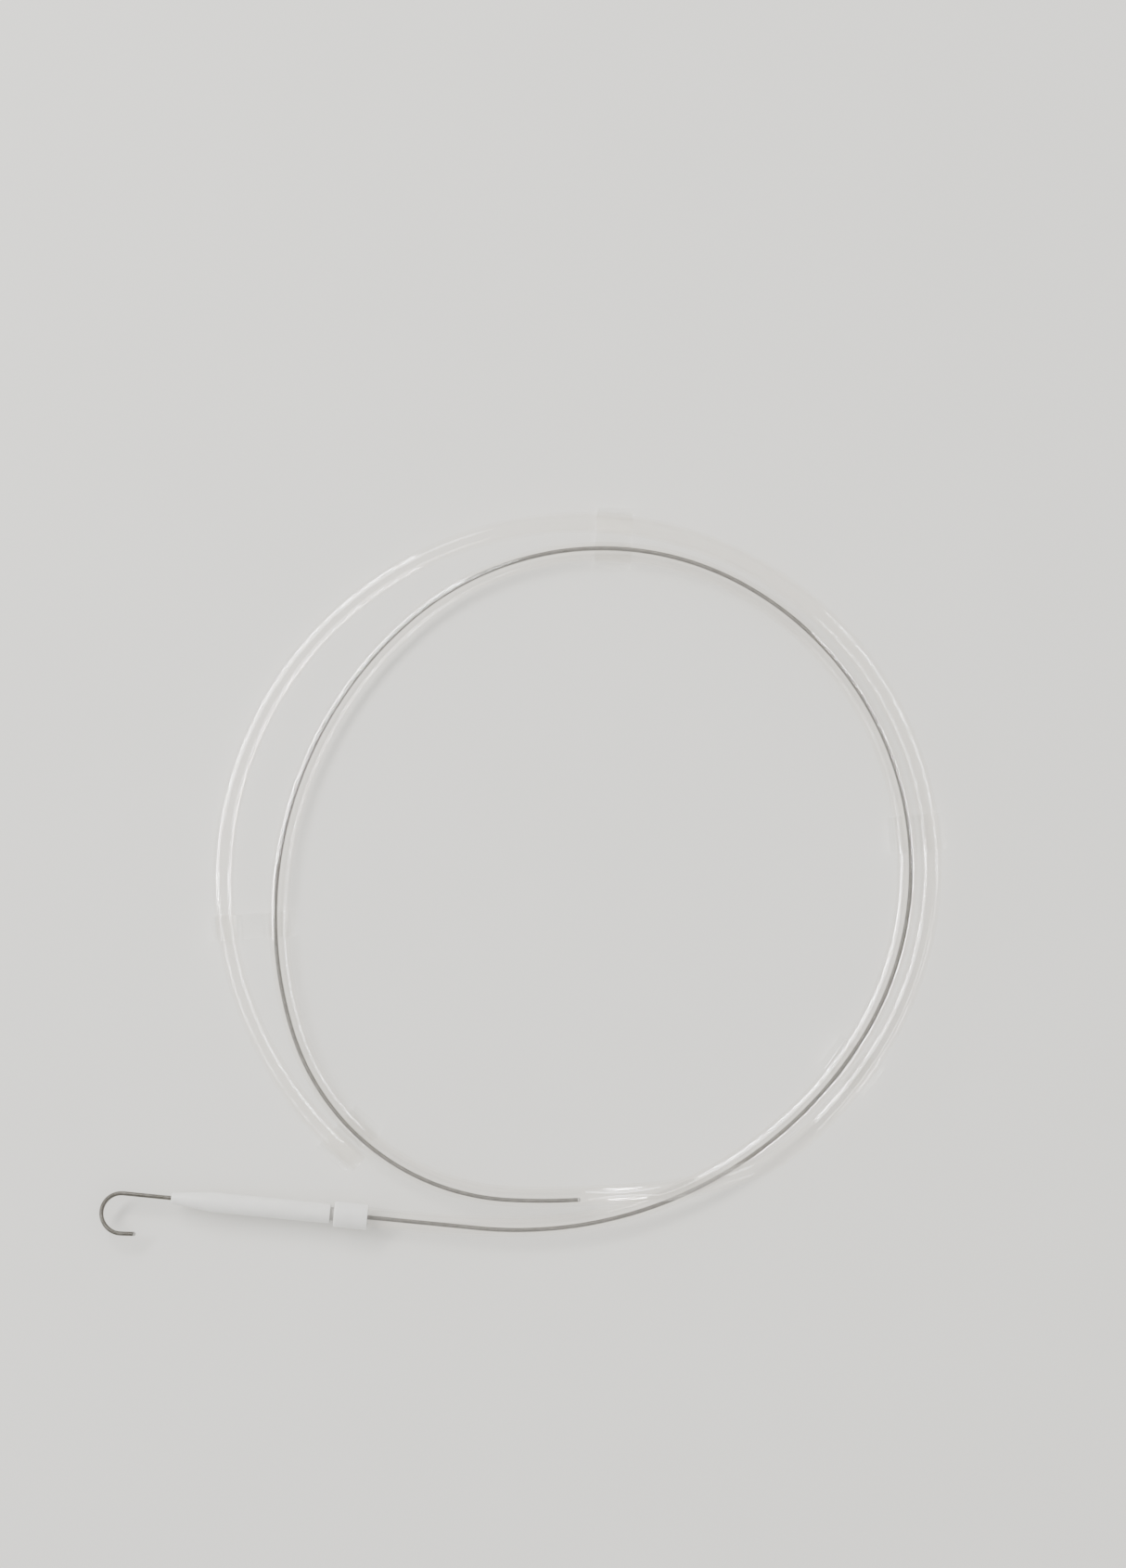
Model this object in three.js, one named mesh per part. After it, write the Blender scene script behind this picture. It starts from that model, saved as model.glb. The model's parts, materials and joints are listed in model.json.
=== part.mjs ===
// A J-tip guidewire in its dispenser: a coiled clear tube of almost two turns, the clips that hold
// the turns together, and the tapered sleeve that straightens the J. Millimetres, +Z up.
// The dispenser lies flat on its clips, and the wire leaves it towards -X.

import * as THREE from 'three';

const RADIANS = Math.PI / 180;

// Guidewire
const WIRE_OD = 0.81;
const COIL_ID = 0.55;
const CORE_OD = 0.3;
const CORE_DROP = 0.08;
const RIBBON_WIDTH = 0.24;
const RIBBON_THICKNESS = 0.06;
const RIBBON_RISE = 0.15;
const CORE_SETBACK = 30; // the core stops this far short of the J
const STRETCH_GAP = 0.3;
const BEAD_NECK = 0.2; // the coil stops this far short of each end of the wire
const BEAD_GAP = 0.1;

// J tip
const J_RADIUS = 3.55;
const J_SWEEP = 184;
const J_STRETCHES = 5;
const J_TAIL = 2.3;
const J_TO_MOUTH = 37.9; // from the bend to the mouth of the tube

// Hoop tube, as [radius, sweep in degrees] of each arc, counter-clockwise from the mouth
const TUBE_OD = 3.6;
const TUBE_ID = 2.8;
const MOUTH_HEADING = -5.6;
const MOUTH_STRAIGHT = 13.2;
const MOUTH_CURVE_RADIUS = 174;
const WIRE_HUG = 0.65; // the wire lies this far outside the tube's centre line
const WIRE_OVERRUN = 1.9; // the wire runs on this far past the first turn
const FIRST_TURN = [[71, 56.5], [56.3, 93.5], [51, 70.5], [68.5, 65.5], [41.5, 70], [110, 5.5]];
const CROSSING = [[190, 7], [40, 37]];
const SECOND_TURN = [[75, 11], [60.3, 93.5], [63, 124.5], [64, 46]];

// Where the tube crosses over its own first turn: distances along it, from the end of the first turn
const HUMP_HEIGHT = 4;
const HUMP_START = 2.5;
const HUMP_RISE = 14.5;
const HUMP_TOP = 15;
const HUMP_FALL = 20;

// Straightener sleeve, with distances along the wire from the mouth of the tube
const SLEEVE_OD = 3.5;
const SLEEVE_BORE = 1.3;
const SLEEVE_NOSE_OD = 1.9;
const SLEEVE_NOSE_LENGTH = 7;
const SLEEVE_LENGTH = 29.4;
const SOCKET_OD = 4.5;
const SOCKET_BORE = 3.9;
const SOCKET_LENGTH = 5.6;
const SOCKET_FLOOR = 0.3;
const NECK_OD = 2.4; // the waist between the socket and the barrel
const NECK_LENGTH = 0.7;
const MOUTH_CLEARANCE = 0.3;

// Hoop clips, as [name, heading of the first turn there, length along the tube]
const CLIP_CLEARANCE = 0.3;
const CLIP_WALL = 0.8;
const CLIP_LIP_ANGLE = 50;
const CLIP_RIDGE_ANGLE = 30;
const CLIP_WEB_THICKNESS = 1.2;
const CLIPS = [
  ['lower_right_clip', 54, 6.5],
  ['right_clip', 96, 6.5],
  ['top_clip', 178, 6.5],
  ['left_spacer_clip', 271, 4.5],
  ['tail_clip', 316, 6.5],
];
const TUBE_AXIS_HEIGHT = TUBE_OD / 2 + CLIP_CLEARANCE + CLIP_WALL;

// Faceting
const STEP_ANGLE = 6;
const J_STEP_ANGLE = 12;
const CROSSING_STEP = 4;
const STRAIGHT_STEP = 20;
const TUBE_SIDES = 12;
const COIL_SIDES = 8;
const CORE_SIDES = 6;
const LATHE_SIDES = 24;
const BEAD_SIDES = 12;
const ARC_SEGMENTS = 6;
const PARTNER_STEP = 0.25;

const material = (color, roughness, metalness, opacity = 1) => new THREE.MeshStandardMaterial({
  color, roughness, metalness, opacity, transparent: opacity < 1,
});
const COIL_STEEL = material(0x8f8880, 0.35, 1);
const CORE_STEEL = material(0xb4b4b2, 0.25, 1);
const WELD_STEEL = material(0xa8a6a2, 0.3, 1);
const CLEAR_TUBE = material(0xe9ebe8, 0.15, 0, 0.3);
const CLIP_PLASTIC = material(0xdfe2de, 0.3, 0, 0.5);
const SLEEVE_PLASTIC = material(0xe8e8e4, 0.45, 0);

// ---- Routes: flat chains of straight and circular legs ----

// Moves from a place with a heading along one leg, and returns the new place
function walk(from, curvature, distance) {
  const turn = curvature * distance;
  const chord = turn === 0 ? distance : (2 * Math.sin(turn / 2)) / curvature;
  const direction = from.heading + turn / 2;
  return {
    x: from.x + chord * Math.cos(direction),
    y: from.y + chord * Math.sin(direction),
    heading: from.heading + turn,
  };
}

const straight = (length) => ({ length, curvature: 0 });

// A negative sweep turns right
const arc = (radius, sweep, stepAngle = STEP_ANGLE) => ({
  length: radius * Math.abs(sweep) * RADIANS,
  curvature: Math.sign(sweep) / radius,
  stepAngle,
});

function stepsOf(leg) {
  if (leg.curvature === 0) return Math.max(1, Math.round(leg.length / STRAIGHT_STEP));
  const sweep = (leg.length * Math.abs(leg.curvature)) / RADIANS;
  return Math.max(1, Math.ceil(sweep / leg.stepAngle - 0.01));
}

// A curve whose parameter runs evenly over its steps, so every leg starts and ends on a station
class Route extends THREE.Curve {
  constructor(start, legs, height = () => TUBE_AXIS_HEIGHT) {
    super();
    this.height = height;
    this.legs = [];
    this.steps = 0;
    this.length = 0;
    let place = start;
    for (const leg of legs) {
      const steps = stepsOf(leg);
      this.legs.push({ ...leg, steps, place, firstStep: this.steps, firstLength: this.length });
      place = walk(place, leg.curvature, leg.length);
      this.steps += steps;
      this.length += leg.length;
    }
  }

  // The distance along the route at parameter t
  distanceAt(t) {
    const station = t * this.steps;
    const leg = this.legs.findLast((candidate) => candidate.firstStep <= station) ?? this.legs[0];
    return leg.firstLength + (leg.length * (station - leg.firstStep)) / leg.steps;
  }

  // Position and heading at a distance along the route
  placeAt(distance) {
    const leg = this.legs.findLast((candidate) => candidate.firstLength <= distance) ?? this.legs[0];
    return walk(leg.place, leg.curvature, distance - leg.firstLength);
  }

  getPoint(t, target = new THREE.Vector3()) {
    const distance = this.distanceAt(t);
    const { x, y } = this.placeAt(distance);
    return target.set(x, y, this.height(distance));
  }

  getPointAt(u, target) {
    return this.getPoint(u, target);
  }

  getTangentAt(u, target = new THREE.Vector3()) {
    const distance = this.distanceAt(u);
    const { heading } = this.placeAt(distance);
    const reach = 0.1;
    const slope = (this.height(distance + reach) - this.height(distance - reach)) / (2 * reach);
    return target.set(Math.cos(heading), Math.sin(heading), slope).normalize();
  }

  // The part of the route between two distances
  cut(from, to) {
    const legs = [];
    for (const leg of this.legs) {
      const start = Math.max(from, leg.firstLength);
      const end = Math.min(to, leg.firstLength + leg.length);
      if (end > start) legs.push({ ...leg, length: end - start });
    }
    return new Route(this.placeAt(from), legs);
  }
}

// ---- Sections, drawn with x down and y to the left of the route ----

function discSection(diameter, x = 0, y = 0) {
  const shape = new THREE.Shape();
  shape.absarc(x, y, diameter / 2, 0, 2 * Math.PI);
  return shape;
}

function ringSection(outer, inner) {
  const shape = discSection(outer);
  shape.holes.push(discSection(inner));
  return shape;
}

function bandSection(thickness, width, y) {
  const shape = new THREE.Shape();
  shape.moveTo(-width / 2, y - thickness / 2);
  shape.lineTo(width / 2, y - thickness / 2);
  shape.lineTo(width / 2, y + thickness / 2);
  shape.lineTo(-width / 2, y + thickness / 2);
  shape.closePath();
  return shape;
}

const COIL_SECTION = ringSection(WIRE_OD, COIL_ID);
const CORE_SECTION = discSection(CORE_OD, 0, -CORE_DROP);
const RIBBON_SECTION = bandSection(RIBBON_THICKNESS, RIBBON_WIDTH, RIBBON_RISE);
const TUBE_SECTION = ringSection(TUBE_OD, TUBE_ID);

const sweep = (section, route, sides) => new THREE.ExtrudeGeometry(section, {
  extrudePath: route,
  steps: route.steps,
  curveSegments: sides / 2,
});

// ---- The assembly ----

const dispenser = new THREE.Group();

function add(name, geometry, finish) {
  const mesh = new THREE.Mesh(geometry, finish);
  mesh.name = name;
  dispenser.add(mesh);
  return mesh;
}

// Turns a piece whose own axis is +Y so that it points along a heading at a place on a route
function aim(mesh, place, heading = place.heading) {
  mesh.position.set(place.x, place.y, TUBE_AXIS_HEIGHT);
  mesh.rotation.set(0, 0, heading - Math.PI / 2);
}

// ---- Hoop tube ----

const mouth = { x: 0, y: 0, heading: MOUTH_HEADING * RADIANS };

// The mouth curve is as long as it takes the wire, which runs straight on, to reach the tube's outer wall
const settleAngle = Math.acos(1 - WIRE_HUG / (MOUTH_CURVE_RADIUS - FIRST_TURN[0][0])) / RADIANS;
const firstTurnLegs = FIRST_TURN.map(([radius, angle]) => arc(radius, angle));
const mouthLegs = [straight(MOUTH_STRAIGHT), arc(MOUTH_CURVE_RADIUS, settleAngle)];
const firstTurnEnd = [...mouthLegs, ...firstTurnLegs].reduce((total, leg) => total + leg.length, 0);

function humpHeight(distance) {
  const past = distance - firstTurnEnd - HUMP_START;
  const rise = THREE.MathUtils.smoothstep(past, 0, HUMP_RISE);
  const fall = THREE.MathUtils.smoothstep(past, HUMP_RISE + HUMP_TOP, HUMP_RISE + HUMP_TOP + HUMP_FALL);
  return TUBE_AXIS_HEIGHT + HUMP_HEIGHT * (rise - fall);
}

const crossingLegs = CROSSING.map(([radius, angle]) => arc(radius, angle, CROSSING_STEP / radius / RADIANS));
const tubeRoute = new Route(mouth, [
  ...mouthLegs,
  ...firstTurnLegs,
  ...crossingLegs,
  ...SECOND_TURN.map(([radius, angle]) => arc(radius, angle)),
], humpHeight);
add('hoop_tube', sweep(TUBE_SECTION, tubeRoute, TUBE_SIDES), CLEAR_TUBE);

// ---- Guidewire ----

// Past the mouth curve each arc of the wire shares its centre with the tube's arc
const wireLegs = FIRST_TURN.map(([radius, angle]) => arc(radius + WIRE_HUG, angle));
wireLegs[0].length += settleAngle * RADIANS * (FIRST_TURN[0][0] + WIRE_HUG);
wireLegs.at(-1).length += WIRE_OVERRUN;
const settleRun = (MOUTH_CURVE_RADIUS - FIRST_TURN[0][0]) * Math.sin(settleAngle * RADIANS);
const jLength = J_RADIUS * J_SWEEP * RADIANS;
const jStart = walk(mouth, 0, -J_TO_MOUTH);
const tailStart = walk(jStart, -1 / J_RADIUS, -jLength);
const wireRoute = new Route(walk(tailStart, 0, -J_TAIL), [
  straight(J_TAIL),
  arc(J_RADIUS, -J_SWEEP, J_STEP_ANGLE),
  straight(J_TO_MOUTH + MOUTH_STRAIGHT + settleRun),
  ...wireLegs,
]);

// The wire's stretches, from the free end of the J, as [name, distance at which the stretch ends]
const shaftStart = J_TAIL + jLength;
const jPitch = jLength / J_STRETCHES;
const stretches = [];
for (let index = J_STRETCHES; index > 0; index -= 1) {
  stretches.push([`j_${index}`, shaftStart - jPitch * (index - 0.5)]);
}
const turnLegs = wireRoute.legs.slice(-wireLegs.length);
stretches.push(['shaft', turnLegs[0].firstLength]);
turnLegs.forEach((leg, index) => {
  stretches.push([`turn_${index + 1}`, leg.firstLength + leg.length]);
});

const coreStart = shaftStart + CORE_SETBACK;
let from = BEAD_NECK;
for (const [name, end] of stretches) {
  const last = end === stretches.at(-1)[1];
  const to = end - (last ? BEAD_NECK : STRETCH_GAP / 2);
  const route = wireRoute.cut(from, to);
  add(`coil_${name}`, sweep(COIL_SECTION, route, COIL_SIDES), COIL_STEEL);
  add(`ribbon_${name}`, sweep(RIBBON_SECTION, route, COIL_SIDES), CORE_STEEL);
  if (to > coreStart) {
    const coreRoute = wireRoute.cut(Math.max(from, coreStart), to);
    add(`core_${name}`, sweep(CORE_SECTION, coreRoute, CORE_SIDES), CORE_STEEL);
  }
  from = end + STRETCH_GAP / 2;
}

// A domed weld bead whose flat face closes the coil
function beadGeometry() {
  const dome = new THREE.Path();
  dome.moveTo(0, 0);
  dome.lineTo(WIRE_OD / 2, 0);
  dome.absarc(0, 0, WIRE_OD / 2, 0, Math.PI / 2);
  return new THREE.LatheGeometry(dome.getPoints(ARC_SEGMENTS), BEAD_SIDES);
}

const tip = wireRoute.placeAt(BEAD_NECK - BEAD_GAP);
const tail = wireRoute.placeAt(wireRoute.length - BEAD_NECK + BEAD_GAP);
aim(add('tip_bead', beadGeometry(), WELD_STEEL), tip, tip.heading + Math.PI);
aim(add('end_bead', beadGeometry(), WELD_STEEL), tail);

// ---- Straightener sleeve: socket over the mouth, neck, barrel and tapered nose, bored through ----

function sleeveGeometry() {
  const floor = MOUTH_CLEARANCE;
  const shoulder = floor + SOCKET_FLOOR;
  const barrel = shoulder + NECK_LENGTH;
  const taper = SLEEVE_LENGTH - SLEEVE_NOSE_LENGTH;
  const profile = [
    [SOCKET_BORE / 2, floor - SOCKET_LENGTH],
    [SOCKET_OD / 2, floor - SOCKET_LENGTH],
    [SOCKET_OD / 2, shoulder],
    [NECK_OD / 2, shoulder],
    [NECK_OD / 2, barrel],
    [SLEEVE_OD / 2, barrel],
    [SLEEVE_OD / 2, taper],
    [SLEEVE_NOSE_OD / 2, SLEEVE_LENGTH],
    [SLEEVE_BORE / 2, SLEEVE_LENGTH],
    [SLEEVE_BORE / 2, floor],
    [SOCKET_BORE / 2, floor],
    [SOCKET_BORE / 2, floor - SOCKET_LENGTH],
  ];
  const points = profile.map(([radius, along]) => new THREE.Vector2(radius, along));
  return new THREE.LatheGeometry(points, LATHE_SIDES);
}

aim(add('straightener_sleeve', sleeveGeometry(), SLEEVE_PLASTIC), mouth, mouth.heading + Math.PI);

// ---- Hoop clips ----

// Across the two tubes, from the resting face up. Tubes that lie close share one trough with a ridge
// between them, and tubes that lie apart have a channel each, joined by a web.
function clipOutline(pitch) {
  const inner = TUBE_OD / 2 + CLIP_CLEARANCE;
  const outer = inner + CLIP_WALL;
  const centre = pitch / 2;
  const width = centre + outer;
  const lip = CLIP_LIP_ANGLE * RADIANS;
  const farLip = Math.PI - lip;
  const apart = pitch > 2 * outer;
  const ridge = CLIP_RIDGE_ANGLE * RADIANS;
  const webAngle = Math.asin((TUBE_AXIS_HEIGHT - CLIP_WEB_THICKNESS) / outer);
  const shape = new THREE.Shape();
  shape.moveTo(-width, 0);
  shape.lineTo(width, 0);
  shape.absarc(centre, TUBE_AXIS_HEIGHT, outer, 0, lip, false);
  if (apart) {
    shape.absarc(centre, TUBE_AXIS_HEIGHT, inner, lip, farLip, true);
    shape.absarc(centre, TUBE_AXIS_HEIGHT, outer, farLip, Math.PI + webAngle, false);
    shape.absarc(-centre, TUBE_AXIS_HEIGHT, outer, -webAngle, lip, false);
    shape.absarc(-centre, TUBE_AXIS_HEIGHT, inner, lip, farLip, true);
  } else {
    shape.absarc(centre, TUBE_AXIS_HEIGHT, inner, lip, Math.PI + ridge, true);
    shape.absarc(-centre, TUBE_AXIS_HEIGHT, inner, -ridge, farLip, true);
  }
  shape.absarc(-centre, TUBE_AXIS_HEIGHT, outer, farLip, Math.PI, false);
  shape.closePath();
  return shape;
}

// The distance along the tube at which it first has a heading
function distanceAtHeading(heading) {
  const leg = tubeRoute.legs.find((candidate) => (
    candidate.curvature > 0 && candidate.place.heading + candidate.length * candidate.curvature >= heading
  ));
  return leg.firstLength + (heading - leg.place.heading) / leg.curvature;
}

// The place on the second turn that is nearest to a place on the first
function partnerOf(place) {
  let nearest = null;
  let least = Infinity;
  for (let along = firstTurnEnd + HUMP_RISE; along <= tubeRoute.length; along += PARTNER_STEP) {
    const candidate = tubeRoute.placeAt(along);
    const gap = Math.hypot(candidate.x - place.x, candidate.y - place.y);
    if (gap < least) {
      least = gap;
      nearest = candidate;
    }
  }
  return nearest;
}

for (const [name, heading, length] of CLIPS) {
  const first = tubeRoute.placeAt(distanceAtHeading(heading * RADIANS));
  const second = partnerOf(first);
  const across = (first.heading + second.heading - 2 * Math.PI) / 2 - Math.PI / 2;
  const pitch = Math.hypot(second.x - first.x, second.y - first.y);
  const geometry = new THREE.ExtrudeGeometry(clipOutline(pitch), {
    depth: length,
    bevelEnabled: false,
    curveSegments: ARC_SEGMENTS,
  });
  geometry.translate(0, 0, -length / 2);
  geometry.rotateX(Math.PI / 2);
  const clip = add(name, geometry, CLIP_PLASTIC);
  clip.position.set((first.x + second.x) / 2, (first.y + second.y) / 2, 0);
  clip.rotation.set(0, 0, across);
}

// ---- The origin is at the middle of the footprint, on the resting plane ----

const bounds = new THREE.Box3().setFromObject(dispenser, true);
const centre = bounds.getCenter(new THREE.Vector3());
dispenser.position.set(-centre.x, -centre.y, -bounds.min.z);

const model = new THREE.Group();
model.add(dispenser);

export default model;
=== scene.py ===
"""A J-tip guidewire in its coiled dispenser tube, with the hoop clips and the J straightener.

The wire is a close-wound coil spring over a core wire and a flat safety ribbon. Its bodies are rigid
stretches, so each visible piece of the wire runs from the middle of one stretch to the middle of the
next, across the joint between them.
"""

import json
import math

import bmesh
import bpy
import numpy as np
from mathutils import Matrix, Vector

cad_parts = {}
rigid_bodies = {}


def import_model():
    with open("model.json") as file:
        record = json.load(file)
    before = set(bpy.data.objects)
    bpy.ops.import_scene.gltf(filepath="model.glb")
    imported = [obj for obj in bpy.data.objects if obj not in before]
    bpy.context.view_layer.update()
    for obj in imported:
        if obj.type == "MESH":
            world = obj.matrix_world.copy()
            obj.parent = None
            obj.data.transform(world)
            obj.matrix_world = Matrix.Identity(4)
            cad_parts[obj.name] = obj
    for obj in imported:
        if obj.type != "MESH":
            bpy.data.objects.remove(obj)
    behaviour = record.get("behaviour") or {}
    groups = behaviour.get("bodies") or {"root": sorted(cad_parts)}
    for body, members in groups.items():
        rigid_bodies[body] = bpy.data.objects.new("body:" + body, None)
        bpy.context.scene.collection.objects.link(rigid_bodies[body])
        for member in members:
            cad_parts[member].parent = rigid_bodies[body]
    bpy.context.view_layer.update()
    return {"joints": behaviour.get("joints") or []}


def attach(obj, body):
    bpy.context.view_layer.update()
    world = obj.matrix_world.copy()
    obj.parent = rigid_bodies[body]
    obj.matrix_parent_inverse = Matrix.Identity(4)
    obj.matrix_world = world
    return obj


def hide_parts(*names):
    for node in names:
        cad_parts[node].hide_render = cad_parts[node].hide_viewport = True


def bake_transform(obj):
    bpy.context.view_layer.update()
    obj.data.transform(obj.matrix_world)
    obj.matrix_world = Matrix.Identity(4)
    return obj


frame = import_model()

# ---- Sizes, in metres and degrees ----

# Guidewire
WIRE_OD = 0.00081
FILAMENT = 0.00013  # the spring's own wire
CORE_OD = 0.0003
CORE_OFFSET = 0.00008  # to the right of the wire's axis
RIBBON_WIDTH = 0.00024
RIBBON_THICKNESS = 0.00006
RIBBON_CORNER = 0.00002
RIBBON_OFFSET = 0.00015  # to the left of the wire's axis
CORE_SETBACK = 0.030  # from the J to the end of the core
BEAD_NECK = 0.0002  # the spring stops this far from the wire's ends
BEAD_GAP = 0.0001  # from the spring to the flat side of a bead
BEND_REACH = 0.004  # how far each way a bend between two long stretches spreads

# J tip
J_RADIUS = 0.00355
J_SWEEP = 184
J_STRETCHES = 5
J_TAIL = 0.0023  # the straight stretch at its free end
J_TO_MOUTH = 0.0379  # from the J to the mouth of the tube

# Hoop tube, counter-clockwise from its mouth, with its turns as (radius, sweep) of each arc
TUBE_OD = 0.0036
TUBE_ID = 0.0028
TUBE_EDGE = 0.00008  # chamfer of the cut ends
MOUTH_STRAIGHT = 0.0132
MOUTH_CURVE_RADIUS = 0.174
WIRE_HUG = 0.00065  # the wire runs this far outside the tube's axis
WIRE_OVERRUN = 0.0019  # past the end of the first turn
FIRST_TURN = ((0.071, 56.5), (0.0563, 93.5), (0.051, 70.5), (0.0685, 65.5), (0.0415, 70), (0.110, 5.5))
CROSSING = ((0.190, 7), (0.040, 37))
SECOND_TURN = ((0.075, 11), (0.0603, 93.5), (0.063, 124.5), (0.064, 46))

# The tube's hump over its own first turn, with the lengths of its parts along the tube
HUMP_HEIGHT = 0.004
HUMP_START = 0.0025  # from the end of the first turn
HUMP_RISE = 0.0145
HUMP_TOP = 0.015
HUMP_FALL = 0.020

# Straightener sleeve
SLEEVE_OD = 0.0035
SLEEVE_BORE = 0.0013
SLEEVE_NOSE_OD = 0.0019
SLEEVE_NOSE_LENGTH = 0.007
SLEEVE_LENGTH = 0.0294  # from the mouth of the tube
SOCKET_OD = 0.0045
SOCKET_BORE = 0.0039
SOCKET_LENGTH = 0.0056
SOCKET_FLOOR = 0.0003
NECK_OD = 0.0024
NECK_LENGTH = 0.0007
MOUTH_CLEARANCE = 0.0003  # from the mouth of the tube to the socket's floor
MOULDED_EDGE = 0.00015

# Hoop clips
CLIP_CLEARANCE = 0.0003
CLIP_WALL = 0.0008
CLIP_LIP_ANGLE = 50  # above the level of the tubes' axes
CLIP_RIDGE_ANGLE = 30  # below it, between tubes that lie close
CLIP_WEB_THICKNESS = 0.0012
CLIP_EDGE = 0.00012
CLIPS = {  # name: (heading of the first turn there, length along the tube)
    "lower_right_clip": (54, 0.0065),
    "right_clip": (96, 0.0065),
    "top_clip": (178, 0.0065),
    "left_spacer_clip": (271, 0.0045),
    "tail_clip": (316, 0.0065),
}

# Fineness of the meshes
J_COIL_POINTS = 16  # points per turn of the spring in the J
SHAFT_COIL_POINTS = 8  # points per turn of the spring past the J
FILAMENT_SIDES = 6
INNER_SIDES = 16
INNER_STEP = 0.0005
TUBE_SIDES = 48
TUBE_STEP = 0.0012
LATHE_SIDES = 64
ARC_STEP = 6
CORNER_STEPS = 3
CORNER_PARTS = 2.2  # a corner's curve takes at most one part in this many of an edge
SLOPE_REACH = 0.0001  # each way along a route, to measure its slope
CLIP_SEARCH_STEP = 0.00025  # along the second turn, to find its place nearest the first
SAME_POINT = 0.000001  # points of a clip's outline nearer than this are one point

# Picture
PICTURE_CENTRE = (0.03968, 0.07575)  # from the mouth of the tube
PICTURE_HEIGHT = 0.276  # at the height of the wire
LENS = 100  # mm
SENSOR = 36  # mm
NEAREST_SEEN = 0.01
FARTHEST_SEEN = 10
FLOOR_HALF = 1.5
FLOOR_DROP = 0.00005  # the clips' flat undersides stay just clear of the floor
SKY_COLOUR = (1, 1, 0.99, 1)
SKY_STRENGTH = 1.4

# Looks, with the scale of each cloud in features per metre
NOISE_DETAIL = 3
VARY_RANGE = (0.3, 0.7)  # the noise values that a varied number is spread over
TINT_RANGE = (0.35, 0.65)  # the noise values that a tint is spread over
STEEL_CLOUD = 900
STEEL_GRAIN = 9000
FACE_ON_GLOSS = 0.035
EDGE_ON_GLOSS = 0.6
GLOSS_POWER = 5  # the higher, the nearer to edge-on the gloss starts
HAZE_POWER = 2
CLOUD_SHADE = 0.97  # a clear plastic's darker tint, as a share of its lighter one
CLEAR_WALLS = 7  # walls in a row that are seen through
BACKING = (0.755, 0.75, 0.735)  # of the wall past them
SLEEVE_CLOUD = 400
SLEEVE_COLOURS = ((0.68, 0.675, 0.65), (0.72, 0.715, 0.69))
SLEEVE_POLISH_CLOUD = 3000
SLEEVE_ROUGHNESS = (0.34, 0.46)
SLEEVE_GLOW = 0.5  # share of the light that scatters inside
SLEEVE_GLOW_DEPTH = 0.0012
SLEEVE_BUMP_CLOUD = 2500
SLEEVE_BUMP_HEIGHT = 0.000004
# painted shade: the colour that stands for the shadow in the sleeve's neck groove
GROOVE_PAINTED_SHADE = (0.40, 0.39, 0.37)
FLOOR_CLOUD = 30
FLOOR_COLOURS = ((0.70, 0.69, 0.655), (0.71, 0.70, 0.665))
FLOOR_ROUGHNESS = 0.6


# ---- Routes ----

def walk(place, curvature, distance):
    """The (x, y, heading) reached from a place along one leg."""
    x, y, heading = place
    turn = curvature * distance
    chord = 2 * math.sin(turn / 2) / curvature if curvature else distance
    direction = heading + turn / 2
    return x + chord * math.cos(direction), y + chord * math.sin(direction), heading + turn


def arcs(pairs, extra=0):
    """(curvature, length) legs of (radius, sweep) pairs, on circles wider by extra."""
    return [(1 / (radius + extra), (radius + extra) * math.radians(sweep)) for radius, sweep in pairs]


class Route:
    """A flat chain of (curvature, length) legs from a place, at a height that may change along it."""

    def __init__(self, place, legs, height):
        self.curvatures = np.array([curvature for curvature, _ in legs])
        self.starts = np.concatenate([[0], np.cumsum([length for _, length in legs])])
        self.length = float(self.starts[-1])
        self.height = height
        places = [place]
        for curvature, length in legs:
            places.append(walk(places[-1], curvature, length))
        self.places = np.array(places)

    def leg_at(self, distances):
        """The number of the leg at distances along the route."""
        last = len(self.curvatures) - 1
        return np.clip(np.searchsorted(self.starts, distances, side="right") - 1, 0, last)

    def headings(self, distances):
        """The headings at distances along the route, in radians from +x."""
        leg = self.leg_at(distances)
        return self.places[leg, 2] + self.curvatures[leg] * (distances - self.starts[leg])

    def points(self, distances):
        """The points at distances along the route."""
        distances = np.asarray(distances, float)
        leg = self.leg_at(distances)
        run = distances - self.starts[leg]
        half_turn = self.curvatures[leg] * run / 2
        chord = run * np.sinc(half_turn / math.pi)
        direction = self.places[leg, 2] + half_turn
        x = self.places[leg, 0] + chord * np.cos(direction)
        y = self.places[leg, 1] + chord * np.sin(direction)
        return np.stack([x, y, self.height(distances)], axis=-1)

    def directions(self, distances):
        """Unit vectors forward, to the left and up at distances along the route."""
        distances = np.asarray(distances, float)
        rise = self.height(distances + SLOPE_REACH) - self.height(distances - SLOPE_REACH)
        slope = rise / (2 * SLOPE_REACH)
        headings = self.headings(distances)
        forward = np.stack([np.cos(headings), np.sin(headings), slope], axis=-1)
        forward /= np.linalg.norm(forward, axis=-1, keepdims=True)
        left = np.stack([-np.sin(headings), np.cos(headings), np.zeros_like(headings)], axis=-1)
        return forward, left, np.cross(forward, left)


joints = {joint["name"]: joint for joint in frame["joints"]}
first_bend = Vector(joints["wire_bend_1"]["pos_m"])
way_out = Vector(joints["wire_advance"]["axis"])
axis_height = first_bend.z

# Past the mouth the tube curves gently and the wire runs straight, until it is WIRE_HUG outside the axis.
# From there its arcs and the tube's have the same centres.
radius_change = MOUTH_CURVE_RADIUS - FIRST_TURN[0][0]
settle_angle = math.acos(1 - WIRE_HUG / radius_change)
settle_run = radius_change * math.sin(settle_angle)
mouth_point = first_bend + way_out * (MOUTH_STRAIGHT + settle_run)
mouth = (mouth_point.x, mouth_point.y, math.atan2(-way_out.y, -way_out.x))

mouth_legs = [(0, MOUTH_STRAIGHT), (1 / MOUTH_CURVE_RADIUS, MOUTH_CURVE_RADIUS * settle_angle)]
first_turn_end = sum(length for _, length in mouth_legs + arcs(FIRST_TURN))


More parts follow.
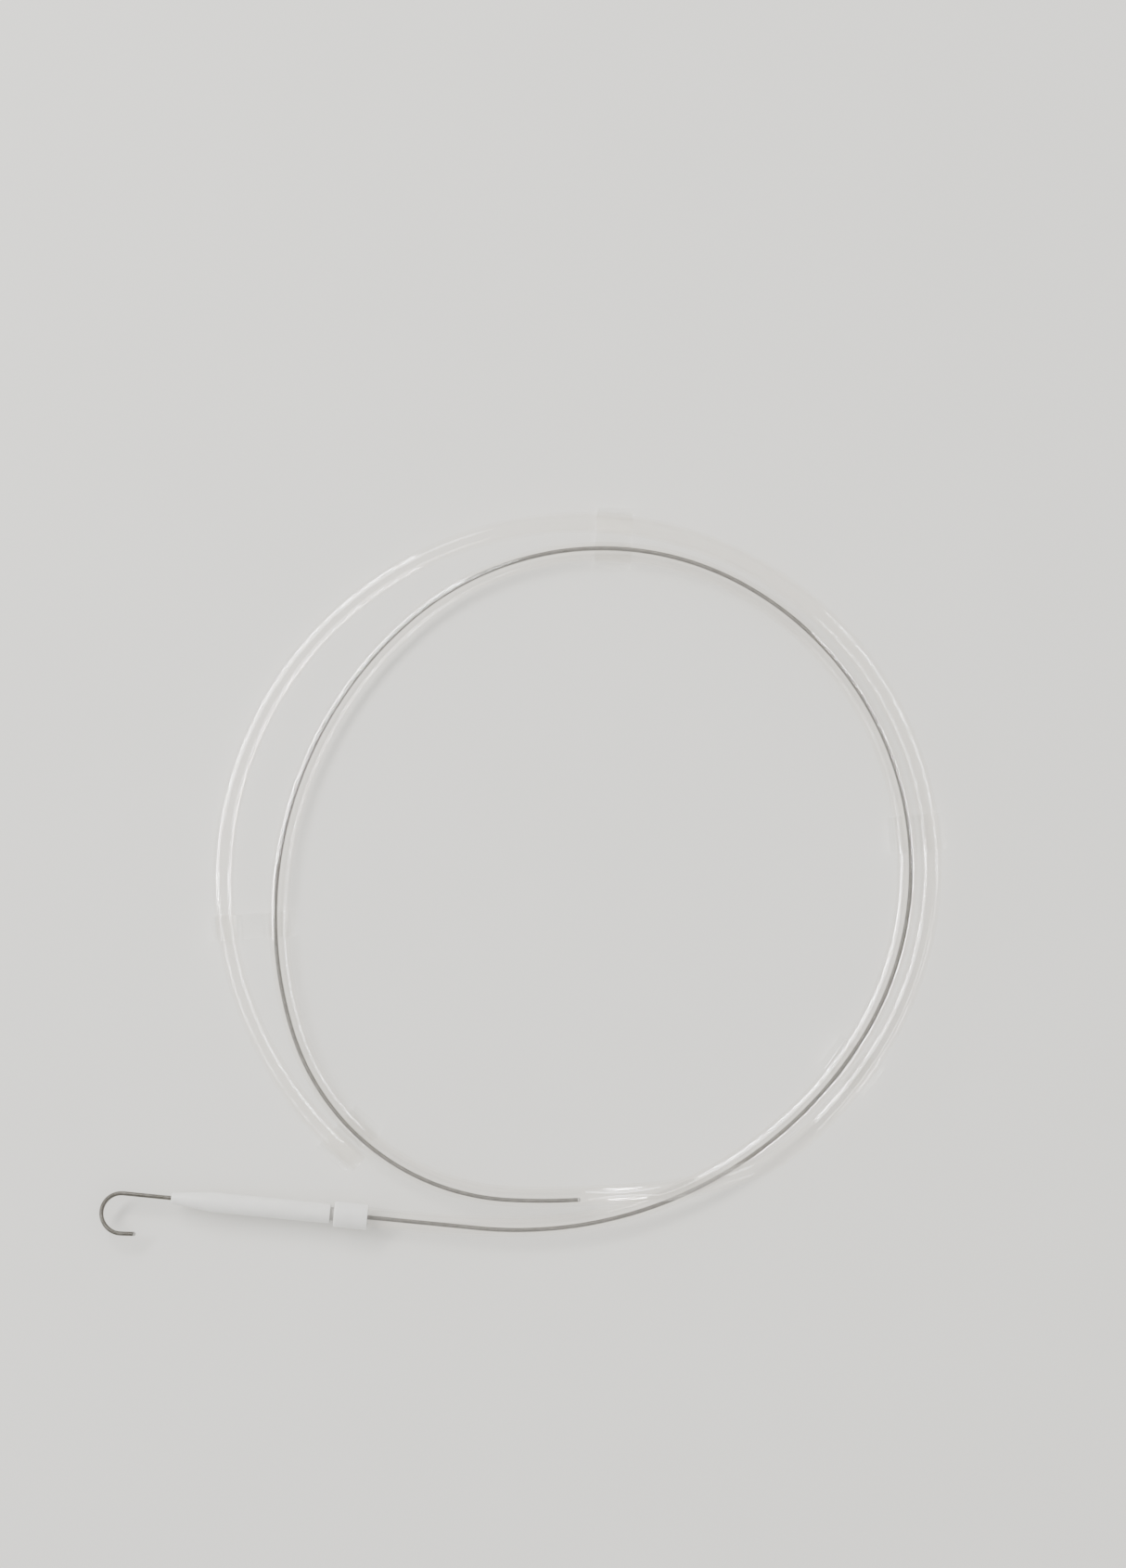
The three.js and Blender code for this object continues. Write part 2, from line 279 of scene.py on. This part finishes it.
def smoothstep(x, low, high):
    """A smooth rise from 0 at low to 1 at high."""
    t = np.clip((x - low) / (high - low), 0, 1)
    return t * t * (3 - 2 * t)


def level(distances):
    """The wire's height, the same all the way."""
    return np.full_like(distances, axis_height)


def humped(distances):
    """The tube's height, with a hump where it crosses over its own first turn."""
    past = distances - first_turn_end - HUMP_START
    top_end = HUMP_RISE + HUMP_TOP
    lift = smoothstep(past, 0, HUMP_RISE) - smoothstep(past, top_end, top_end + HUMP_FALL)
    return axis_height + HUMP_HEIGHT * lift


tube_route = Route(mouth, mouth_legs + arcs(FIRST_TURN + CROSSING + SECOND_TURN), humped)

j_length = J_RADIUS * math.radians(J_SWEEP)
j_start = walk(mouth, 0, -J_TO_MOUTH)
wire_start = walk(walk(j_start, -1 / J_RADIUS, -j_length), 0, -J_TAIL)
wire_arcs = arcs(FIRST_TURN, WIRE_HUG)
wire_arcs[0] = (wire_arcs[0][0], wire_arcs[0][1] + settle_angle / wire_arcs[0][0])
wire_arcs[-1] = (wire_arcs[-1][0], wire_arcs[-1][1] + WIRE_OVERRUN)
shaft_length = J_TO_MOUTH + MOUTH_STRAIGHT + settle_run
front_legs = [(0, J_TAIL), (-1 / J_RADIUS, j_length), (0, shaft_length)]
wire_route = Route(wire_start, front_legs + wire_arcs, level)


# ---- Mesh helpers ----

def add(name, mesh, material, sharp_angle=40):
    """A smoothly shaded object of a mesh, with sharp edges where its faces turn more than an angle."""
    mesh.materials.append(material)
    mesh.shade_smooth()
    mesh.set_sharp_from_angle(angle=math.radians(sharp_angle))
    piece = bpy.data.objects.new(name, mesh)
    bpy.context.scene.collection.objects.link(piece)
    return piece


def skin(name, rings, wrap=False):
    """A closed mesh over rings of points, an array (ring, point, 3), capped at its ends or joined round."""
    rows, columns = rings.shape[:2]
    index = np.arange(rows * columns).reshape(rows, columns)
    beside = np.roll(index, -1, axis=1)
    quads = np.stack([index, beside, np.roll(beside, -1, axis=0), np.roll(index, -1, axis=0)], axis=-1)
    faces = quads[: rows if wrap else rows - 1].reshape(-1, 4).tolist()
    if not wrap:
        faces += [index[0][::-1].tolist(), index[-1].tolist()]
    mesh = bpy.data.meshes.new(name)
    mesh.from_pydata(rings.reshape(-1, 3), [], faces)
    solid = bmesh.new()
    solid.from_mesh(mesh)
    if solid.calc_volume(signed=True) < 0:
        bmesh.ops.reverse_faces(solid, faces=solid.faces)
    solid.to_mesh(mesh)
    solid.free()
    return mesh


def circle(diameter, sides, left=0):
    """A round section as (left, up) points, with its centre a distance to the left."""
    angles = np.arange(sides) * 2 * math.pi / sides
    return np.stack([left + diameter / 2 * np.cos(angles), diameter / 2 * np.sin(angles)], axis=-1)


def sweep_rings(route, distances, section):
    """Rings of a section of (left, up) points along a route."""
    _, left, up = route.directions(distances)
    centres = route.points(distances)
    across = section[None, :, 0, None] * left[:, None] + section[None, :, 1, None] * up[:, None]
    return centres[:, None] + across


def stations(start, end, step):
    """Distances from start to end, in equal steps no longer than step."""
    return np.linspace(start, end, max(2, math.ceil((end - start) / step) + 1))


def coil_rings(route, start, end, points_per_turn):
    """Rings round the spring's own wire, which winds round the route with its turns touching."""
    distances = stations(start, end, FILAMENT / points_per_turn)
    _, left, up = route.directions(distances)
    forward = np.cross(left, up)
    turned = (2 * math.pi * distances / FILAMENT)[:, None]
    outward = np.cos(turned) * left + np.sin(turned) * up
    centres = route.points(distances) + outward * (WIRE_OD - FILAMENT) / 2
    section = circle(FILAMENT, FILAMENT_SIDES)
    across = section[None, :, 0, None] * outward[:, None] + section[None, :, 1, None] * forward[:, None]
    return centres[:, None] + across


def lathe_rings(profile, start, direction):
    """Rings of a profile of (radius, distance along the axis) points, round an axis from a point."""
    along = Vector(direction).normalized()
    side = along.orthogonal().normalized()
    other = along.cross(side)
    angles = np.arange(LATHE_SIDES) * 2 * math.pi / LATHE_SIDES
    around = np.cos(angles)[:, None] * np.array(side) + np.sin(angles)[:, None] * np.array(other)
    profile = np.array(profile)
    centres = np.array(start) + profile[:, 1, None] * np.array(along)
    return centres[:, None] + profile[:, 0, None, None] * around[None]


def rounded(corners, radius):
    """A closed outline with each corner cut by a short curve that starts radius away from it."""
    points = []
    count = len(corners)
    for i, corner in enumerate(np.array(corners, float)):
        before = np.array(corners[i - 1]) - corner
        after = np.array(corners[(i + 1) % count]) - corner
        reach = min(radius, np.linalg.norm(before) / CORNER_PARTS, np.linalg.norm(after) / CORNER_PARTS)
        entry = corner + before / np.linalg.norm(before) * reach
        leave = corner + after / np.linalg.norm(after) * reach
        for t in np.linspace(0, 1, CORNER_STEPS + 1):
            points.append((1 - t) ** 2 * entry + 2 * t * (1 - t) * corner + t * t * leave)
    return np.array(points)


# ---- Materials ----

def new_material(name):
    """A material, its nodes, its links and its main shader."""
    material = bpy.data.materials.new(name)
    material.use_nodes = True
    nodes = material.node_tree.nodes
    return material, nodes, material.node_tree.links, nodes["Principled BSDF"]


def noise(nodes, links, scale):
    """Noise over the object's own coordinates, with scale in features per metre."""
    place = nodes.new("ShaderNodeTexCoord")
    texture = nodes.new("ShaderNodeTexNoise")
    texture.inputs["Scale"].default_value = scale
    texture.inputs["Detail"].default_value = NOISE_DETAIL
    links.new(place.outputs["Object"], texture.inputs["Vector"])
    return texture.outputs["Fac"]


def vary(nodes, links, value, low, high):
    """A noise value spread between low and high."""
    spread = nodes.new("ShaderNodeMapRange")
    spread.inputs["From Min"].default_value = VARY_RANGE[0]
    spread.inputs["From Max"].default_value = VARY_RANGE[1]
    spread.inputs["To Min"].default_value = low
    spread.inputs["To Max"].default_value = high
    links.new(value, spread.inputs["Value"])
    return spread.outputs["Result"]


def tint(nodes, links, value, first, second):
    """A colour between two, by a noise value."""
    ramp = nodes.new("ShaderNodeValToRGB")
    ramp.color_ramp.elements[0].position = TINT_RANGE[0]
    ramp.color_ramp.elements[0].color = (*first, 1)
    ramp.color_ramp.elements[1].position = TINT_RANGE[1]
    ramp.color_ramp.elements[1].color = (*second, 1)
    links.new(value, ramp.inputs["Fac"])
    return ramp.outputs["Color"]


def bump(nodes, links, value, shader, height):
    """Fine unevenness of a shader's surface, of a height in metres."""
    node = nodes.new("ShaderNodeBump")
    node.inputs["Strength"].default_value = 1
    node.inputs["Distance"].default_value = height
    links.new(value, node.inputs["Height"])
    links.new(node.outputs["Normal"], shader.inputs["Normal"])


def steel(name, colours, roughness):
    """Drawn stainless steel: a cloudy tint and a cloudy polish."""
    material, nodes, links, shader = new_material(name)
    shader.inputs["Metallic"].default_value = 1
    cloud = noise(nodes, links, STEEL_CLOUD)
    links.new(tint(nodes, links, cloud, *colours), shader.inputs["Base Color"])
    grain = noise(nodes, links, STEEL_GRAIN)
    links.new(vary(nodes, links, grain, *roughness), shader.inputs["Roughness"])
    return material


def mix(nodes, links, share, first, second):
    """A blend of two shaders, with a share of the second between 0 and 1."""
    node = nodes.new("ShaderNodeMixShader")
    links.new(share, node.inputs["Fac"])
    links.new(first, node.inputs[1])
    links.new(second, node.inputs[2])
    return node.outputs["Shader"]


def by_slant(nodes, links, power, face_on, edge_on):
    """A value that goes from face_on to edge_on as the surface turns away from the eye."""
    slant = nodes.new("ShaderNodeLayerWeight")
    slant.inputs["Blend"].default_value = 0.5  # Facing is then one minus the cosine of the slant
    curve = nodes.new("ShaderNodeMath")
    curve.operation = "POWER"
    curve.inputs[1].default_value = power
    links.new(slant.outputs["Facing"], curve.inputs[0])
    spread = nodes.new("ShaderNodeMapRange")
    spread.inputs["To Min"].default_value = face_on
    spread.inputs["To Max"].default_value = edge_on
    links.new(curve.outputs["Value"], spread.inputs["Value"])
    return spread.outputs["Result"]


def clear_plastic(name, passes, colour, haze, cloud_scale, roughness):
    """Clear plastic: it passes light, and the flatter it is seen, the more it mirrors and the hazier it is.

    A renderer follows a ray through a limited number of clear walls, so past CLEAR_WALLS of them a wall
    glows softly with the light behind it instead.
    """
    material, nodes, links, shader = new_material(name)
    cloud = noise(nodes, links, cloud_scale)
    shade = [channel * CLOUD_SHADE for channel in colour]
    links.new(tint(nodes, links, cloud, shade, colour), shader.inputs["Base Color"])
    polish = vary(nodes, links, cloud, *roughness)
    links.new(polish, shader.inputs["Roughness"])
    clear = nodes.new("ShaderNodeBsdfTransparent")
    clear.inputs["Color"].default_value = (*passes, 1)
    gloss = nodes.new("ShaderNodeBsdfAnisotropic")
    gloss.inputs["Color"].default_value = (1, 1, 1, 1)
    links.new(polish, gloss.inputs["Roughness"])
    mirrored = by_slant(nodes, links, GLOSS_POWER, FACE_ON_GLOSS, EDGE_ON_GLOSS)
    glossy = mix(nodes, links, mirrored, clear.outputs["BSDF"], gloss.outputs["BSDF"])
    clouded = by_slant(nodes, links, HAZE_POWER, *haze)
    hazy = mix(nodes, links, clouded, glossy, shader.outputs["BSDF"])
    path = nodes.new("ShaderNodeLightPath")
    deep = nodes.new("ShaderNodeMath")
    deep.operation = "GREATER_THAN"
    deep.inputs[1].default_value = CLEAR_WALLS - 0.5
    links.new(path.outputs["Transparent Depth"], deep.inputs[0])
    backing = nodes.new("ShaderNodeBsdfTranslucent")
    backing.inputs["Color"].default_value = (*BACKING, 1)
    ended = mix(nodes, links, deep.outputs["Value"], hazy, backing.outputs["BSDF"])
    links.new(ended, nodes["Material Output"].inputs["Surface"])
    return material


def natural_plastic(name, start, direction, groove_start, groove_end):
    """Undyed moulded plastic, whitish, that lets a little light in, and is darker in its groove.

    The groove lies between two distances from start along direction; its darker colour is painted shade,
    standing for the shadow that falls in it.
    """
    material, nodes, links, shader = new_material(name)
    clean = tint(nodes, links, noise(nodes, links, SLEEVE_CLOUD), *SLEEVE_COLOURS)
    place = nodes.new("ShaderNodeTexCoord")
    along = nodes.new("ShaderNodeVectorMath")
    along.operation = "DOT_PRODUCT"
    along.inputs[1].default_value = direction
    links.new(place.outputs["Object"], along.inputs[0])
    # Painted shade: inside the neck groove the colour is darkened to stand for the shadow that falls there.
    inside = nodes.new("ShaderNodeMath")
    inside.operation = "COMPARE"
    inside.inputs[1].default_value = start.dot(direction) + (groove_start + groove_end) / 2
    inside.inputs[2].default_value = (groove_end - groove_start) / 2
    links.new(along.outputs["Value"], inside.inputs[0])
    shaded = nodes.new("ShaderNodeMixRGB")
    shaded.inputs[2].default_value = (*GROOVE_PAINTED_SHADE, 1)
    links.new(inside.outputs["Value"], shaded.inputs[0])
    links.new(clean, shaded.inputs[1])
    links.new(shaded.outputs["Color"], shader.inputs["Base Color"])
    polish = vary(nodes, links, noise(nodes, links, SLEEVE_POLISH_CLOUD), *SLEEVE_ROUGHNESS)
    links.new(polish, shader.inputs["Roughness"])
    shader.inputs["Subsurface Weight"].default_value = SLEEVE_GLOW
    shader.inputs["Subsurface Radius"].default_value = (1, 1, 1)
    shader.inputs["Subsurface Scale"].default_value = SLEEVE_GLOW_DEPTH
    bump(nodes, links, noise(nodes, links, SLEEVE_BUMP_CLOUD), shader, SLEEVE_BUMP_HEIGHT)
    return material


COIL_STEEL = steel(
    "coil_steel",
    colours=((0.15, 0.141, 0.124), (0.212, 0.2, 0.179)),
    roughness=(0.28, 0.4),
)
CORE_STEEL = steel(
    "core_steel",
    colours=((0.55, 0.55, 0.54), (0.62, 0.62, 0.61)),
    roughness=(0.22, 0.32),
)
WELD_STEEL = steel(
    "weld_steel",
    colours=((0.38, 0.37, 0.35), (0.46, 0.45, 0.43)),
    roughness=(0.2, 0.3),
)
CLEAR_TUBE = clear_plastic(
    "clear_tube",
    passes=(0.992, 0.987, 0.98),
    colour=(0.74, 0.735, 0.71),
    haze=(0.015, 0.11),
    cloud_scale=150,
    roughness=(0.05, 0.09),
)
CLIP_PLASTIC = clear_plastic(
    "clip_plastic",
    passes=(0.998, 0.998, 0.996),
    colour=(0.76, 0.755, 0.73),
    haze=(0.03, 0.15),
    cloud_scale=300,
    roughness=(0.08, 0.16),
)
SLEEVE_PLASTIC = natural_plastic(
    "sleeve_plastic",
    start=mouth_point,
    direction=way_out,
    groove_start=MOUTH_CLEARANCE + SOCKET_FLOOR,
    groove_end=MOUTH_CLEARANCE + SOCKET_FLOOR + NECK_LENGTH,
)


# ---- Hoop tube ----

def hoop_tube():
    """A hollow sweep whose outside, cut ends and bore are one skin."""
    along = stations(TUBE_EDGE, tube_route.length - TUBE_EDGE, TUBE_STEP)
    ends = np.array([0, tube_route.length])
    outside = sweep_rings(tube_route, along, circle(TUBE_OD, TUBE_SIDES))
    rim = sweep_rings(tube_route, ends, circle(TUBE_OD - 2 * TUBE_EDGE, TUBE_SIDES))
    lip = sweep_rings(tube_route, ends, circle(TUBE_ID + TUBE_EDGE, TUBE_SIDES))
    bore = sweep_rings(tube_route, along, circle(TUBE_ID, TUBE_SIDES))
    rings = np.concatenate([rim[:1], outside, rim[1:], lip[1:], bore[::-1], lip[:1]])
    piece = add("clear_hoop_tube", skin("clear_hoop_tube", rings, wrap=True), CLEAR_TUBE)
    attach(piece, "dispenser")
    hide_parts("hoop_tube")


# ---- Guidewire ----

def wire_crossings():
    """Each joint of the wire, from the J's free end, as (joint name, distance along the wire).

    The J's joints are at the middles of its equal stretches, and the hoop's are where its arcs start.
    """
    pitch = j_length / J_STRETCHES
    bends = ["j_tip_flex"] + [f"j_bend_{i}" for i in range(2, J_STRETCHES + 1)]
    found = [(name, J_TAIL + j_length - pitch * (i + 0.5)) for i, name in enumerate(bends)][::-1]
    for i in range(len(wire_arcs)):
        found.append((f"wire_bend_{i + 1}", float(wire_route.starts[len(front_legs) + i])))
    return found


def bent_piece(name, rings, material, at, reach, nodes):
    """A piece of the wire that runs across a joint, in its rest shape, in place of the CAD nodes it hides.
    """
    piece = add(name, skin(name, rings), material, sharp_angle=80)
    ends = wire_route.points([at - reach, at + reach])
    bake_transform(piece)
    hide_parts(*nodes)


def guidewire():
    """The spring, the ribbon and the core, each in pieces from the middle of one stretch to the next."""
    crossings = wire_crossings()
    places = [at for _, at in crossings]
    middles = [(a + b) / 2 for a, b in zip(places, places[1:])]
    starts = [BEAD_NECK] + middles
    ends = middles + [wire_route.length - BEAD_NECK]
    core_start = J_TAIL + j_length + CORE_SETBACK
    core_section = circle(CORE_OD, INNER_SIDES, left=-CORE_OFFSET)
    half_width = RIBBON_WIDTH / 2
    half_thickness = RIBBON_THICKNESS / 2
    corners = [
        (-half_thickness, -half_width),
        (half_thickness, -half_width),
        (half_thickness, half_width),
        (-half_thickness, half_width),
    ]
    ribbon_section = rounded(corners, RIBBON_CORNER) + [RIBBON_OFFSET, 0]
    for (name, at), start, end in zip(crossings, starts, ends):
        joint = joints[name]
        in_j = joint["child"].startswith("wire_j_")
        reach = min(at - start, end - at) if in_j else BEND_REACH
        stretch = joint["child"].removeprefix("wire_")
        stretches = [stretch, "shaft"] if joint["parent"] == "wire_shaft" and not in_j else [stretch]
        points_per_turn = J_COIL_POINTS if in_j else SHAFT_COIL_POINTS
        rings = coil_rings(wire_route, start, end, points_per_turn)
        bent_piece(f"spring_{stretch}", rings, COIL_STEEL, at, reach,
                   [f"coil_{s}" for s in stretches])
        along = stations(start, end, INNER_STEP)
        rings = sweep_rings(wire_route, along, ribbon_section)
        bent_piece(f"safety_ribbon_{stretch}", rings, CORE_STEEL, at, reach,
                   [f"ribbon_{s}" for s in stretches])
        if end > core_start and not in_j:
            along = stations(max(start, core_start), end, INNER_STEP)
            rings = sweep_rings(wire_route, along, core_section)
            bent_piece(f"core_wire_{stretch}", rings, CORE_STEEL, at, reach,
                       [f"core_{s}" for s in stretches])


def weld_bead(name, distance, outward, body):
    """A domed bead that closes the spring."""
    forward, _, _ = wire_route.directions([distance])
    radius = WIRE_OD / 2
    angles = np.radians(np.arange(0, 90, ARC_STEP))
    profile = [(radius * math.cos(a), radius * math.sin(a)) for a in angles]
    start = wire_route.points([distance])[0]
    mesh = skin(name, lathe_rings(profile, start, Vector(forward[0]) * outward))
    piece = add(f"rounded_{name}", mesh, WELD_STEEL, sharp_angle=60)
    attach(piece, body)
    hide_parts(name)


# ---- Straightener sleeve ----

def straightener():
    """A socket over the mouth of the tube, a neck, a barrel and a tapered nose, bored through."""
    bottom = MOUTH_CLEARANCE
    shoulder = bottom + SOCKET_FLOOR
    barrel = shoulder + NECK_LENGTH
    taper = SLEEVE_LENGTH - SLEEVE_NOSE_LENGTH
    corners = [
        (SOCKET_BORE / 2, bottom - SOCKET_LENGTH),
        (SOCKET_OD / 2, bottom - SOCKET_LENGTH),
        (SOCKET_OD / 2, shoulder),
        (NECK_OD / 2, shoulder),
        (NECK_OD / 2, barrel),
        (SLEEVE_OD / 2, barrel),
        (SLEEVE_OD / 2, taper),
        (SLEEVE_NOSE_OD / 2, SLEEVE_LENGTH),
        (SLEEVE_BORE / 2, SLEEVE_LENGTH),
        (SLEEVE_BORE / 2, bottom),
        (SOCKET_BORE / 2, bottom),
    ]
    profile = rounded(corners, MOULDED_EDGE)
    mesh = skin("straightener", lathe_rings(profile, mouth_point, way_out), wrap=True)
    piece = add("j_straightener", mesh, SLEEVE_PLASTIC, sharp_angle=50)
    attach(piece, "straightener")
    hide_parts("straightener_sleeve")


# ---- Hoop clips ----

def arc_points(centre, radius, start, end):
    """Points of an arc from one angle to another, in degrees from +x."""
    count = max(2, round(abs(end - start) / ARC_STEP) + 1)
    angles = np.radians(np.linspace(start, end, count))
    return [(centre + radius * math.cos(a), axis_height + radius * math.sin(a)) for a in angles]


def clip_outline(pitch):
    """The clip across the two tubes: one trough for tubes that lie close, or two channels and a web."""
    inner = TUBE_OD / 2 + CLIP_CLEARANCE
    outer = inner + CLIP_WALL
    centre = pitch / 2
    width = centre + outer
    far_lip = 180 - CLIP_LIP_ANGLE
    web_angle = math.degrees(math.asin((axis_height - CLIP_WEB_THICKNESS) / outer))
    outline = [(-width, 0), (width, 0)]
    outline += arc_points(centre, outer, 0, CLIP_LIP_ANGLE)
    if pitch > 2 * outer:
        outline += arc_points(centre, inner, CLIP_LIP_ANGLE, far_lip - 360)
        outline += arc_points(centre, outer, far_lip, 180 + web_angle)
        outline += arc_points(-centre, outer, -web_angle, CLIP_LIP_ANGLE)
        outline += arc_points(-centre, inner, CLIP_LIP_ANGLE, far_lip - 360)
    else:
        outline += arc_points(centre, inner, CLIP_LIP_ANGLE, CLIP_RIDGE_ANGLE - 180)
        outline += arc_points(-centre, inner, -CLIP_RIDGE_ANGLE, far_lip - 360)
    outline += arc_points(-centre, outer, far_lip, 180)
    return outline


def heading_distance(heading):
    """The distance along the tube at which it first has a heading."""
    turned = tube_route.places[:-1, 2] + tube_route.curvatures * np.diff(tube_route.starts)
    leg = int(np.argmax((tube_route.curvatures > 0) & (turned >= heading)))
    return tube_route.starts[leg] + (heading - tube_route.places[leg, 2]) / tube_route.curvatures[leg]


def clip(name, heading, length):
    """A clip square across both turns, where the first has a heading in degrees."""
    first_at = heading_distance(math.radians(heading))
    first = tube_route.points([first_at])[0]
    second_turn = stations(first_turn_end + HUMP_RISE, tube_route.length, CLIP_SEARCH_STEP)
    gaps = np.linalg.norm((tube_route.points(second_turn) - first)[:, :2], axis=1)
    second_at = second_turn[int(np.argmin(gaps))]
    second = tube_route.points([second_at])[0]
    headings = tube_route.headings(np.array([first_at, second_at]))
    mean_heading = (headings.sum() - 2 * math.pi) / 2  # the second turn's heading is a whole turn on
    across = mean_heading - math.pi / 2
    outline = np.array(clip_outline(float(gaps.min())))
    keep = np.linalg.norm(outline - np.roll(outline, 1, axis=0), axis=1) > SAME_POINT
    outline = outline[keep]
    side = np.array([math.cos(across), math.sin(across), 0])
    forward = np.array([-math.sin(across), math.cos(across), 0])
    centre = (first + second) / 2 * [1, 1, 0]
    up = np.array([0, 0, 1])
    flat = centre + outline[:, :1] * side + outline[:, 1:] * up
    rings = np.stack([flat - forward * length / 2, flat + forward * length / 2])
    piece = add(f"moulded_{name}", skin(name, rings), CLIP_PLASTIC)
    bevel = piece.modifiers.new("edges", "BEVEL")
    bevel.width = CLIP_EDGE
    bevel.segments = 3
    bevel.limit_method = "ANGLE"
    bevel.angle_limit = math.radians(50)
    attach(piece, "dispenser")
    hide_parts(name)


# ---- Floor, lights and camera ----

def floor():
    """The pale sheet that the hoop lies on."""
    material, nodes, links, shader = new_material("floor")
    cloud = noise(nodes, links, FLOOR_CLOUD)
    links.new(tint(nodes, links, cloud, *FLOOR_COLOURS), shader.inputs["Base Color"])
    shader.inputs["Roughness"].default_value = FLOOR_ROUGHNESS
    mesh = bpy.data.meshes.new("floor")
    signs = ((-1, -1), (1, -1), (1, 1), (-1, 1))
    corners = [(x * FLOOR_HALF, y * FLOOR_HALF, -FLOOR_DROP) for x, y in signs]
    mesh.from_pydata(corners, [], [(0, 1, 2, 3)])
    mesh.materials.append(material)
    piece = bpy.data.objects.new("floor", mesh)
    bpy.context.scene.collection.objects.link(piece)


def strip_light(name, place, length, width, power, colour, receivers=None):
    """A long lamp that looks at the origin. With receivers, it only makes highlights, on those pieces."""
    light = bpy.data.lights.new(name, "AREA")
    light.shape = "RECTANGLE"
    light.size = length
    light.size_y = width
    light.energy = power
    light.color = colour
    lamp = bpy.data.objects.new(name, light)
    lamp.location = place
    lamp.rotation_euler = (-Vector(place)).to_track_quat("-Z", "Y").to_euler()
    bpy.context.scene.collection.objects.link(lamp)
    if receivers:
        lamp.light_linking.receiver_collection = receivers
        lamp.visible_diffuse = False


def world():
    """Even light from all round."""
    surroundings = bpy.data.worlds.new("studio")
    surroundings.use_nodes = True
    background = surroundings.node_tree.nodes["Background"]
    background.inputs["Color"].default_value = SKY_COLOUR
    background.inputs["Strength"].default_value = SKY_STRENGTH
    bpy.context.scene.world = surroundings


def clear_pieces():
    """The collection of the clear pieces, which cast no shadow."""
    collection = bpy.data.collections.new("clear_pieces")
    for piece in bpy.context.scene.objects:
        if piece.type == "MESH" and piece.data.materials[:1] in ([CLEAR_TUBE], [CLIP_PLASTIC]):
            collection.objects.link(piece)
            piece.visible_shadow = False
    return collection


def lamps():
    """A soft key light, and two strips whose light shows only as highlights on the clear pieces."""
    strip_light(
        "key",
        place=(-0.75, 0.65, 0.85),
        length=1.3,
        width=0.25,
        power=22,
        colour=(1, 0.99, 0.97),
    )
    glossed = clear_pieces()
    strip_light(
        "left_glint",
        place=(-1.1, 0.6, 0.25),
        length=1.7,
        width=0.08,
        power=150,
        colour=(1, 1, 1),
        receivers=glossed,
    )
    strip_light(
        "right_glint",
        place=(1.03, 0.4, 0.5),
        length=1.0,
        width=0.06,
        power=32,
        colour=(1, 1, 1),
        receivers=glossed,
    )


def camera():
    """A camera straight above the hoop."""
    data = bpy.data.cameras.new("camera")
    data.lens = LENS
    data.sensor_width = SENSOR
    data.clip_start = NEAREST_SEEN
    data.clip_end = FARTHEST_SEEN
    eye = bpy.data.objects.new("camera", data)
    height = PICTURE_HEIGHT * LENS / SENSOR + axis_height
    eye.location = (mouth[0] + PICTURE_CENTRE[0], mouth[1] + PICTURE_CENTRE[1], height)
    bpy.context.scene.collection.objects.link(eye)
    bpy.context.scene.camera = eye


hoop_tube()
guidewire()
weld_bead("tip_bead", BEAD_NECK - BEAD_GAP, -1, f"wire_j_{J_STRETCHES}")
weld_bead("end_bead", wire_route.length - BEAD_NECK + BEAD_GAP, 1, f"wire_turn_{len(wire_arcs)}")
straightener()
for clip_name, (clip_heading, clip_length) in CLIPS.items():
    clip(clip_name, clip_heading, clip_length)
floor()
world()
lamps()
camera()
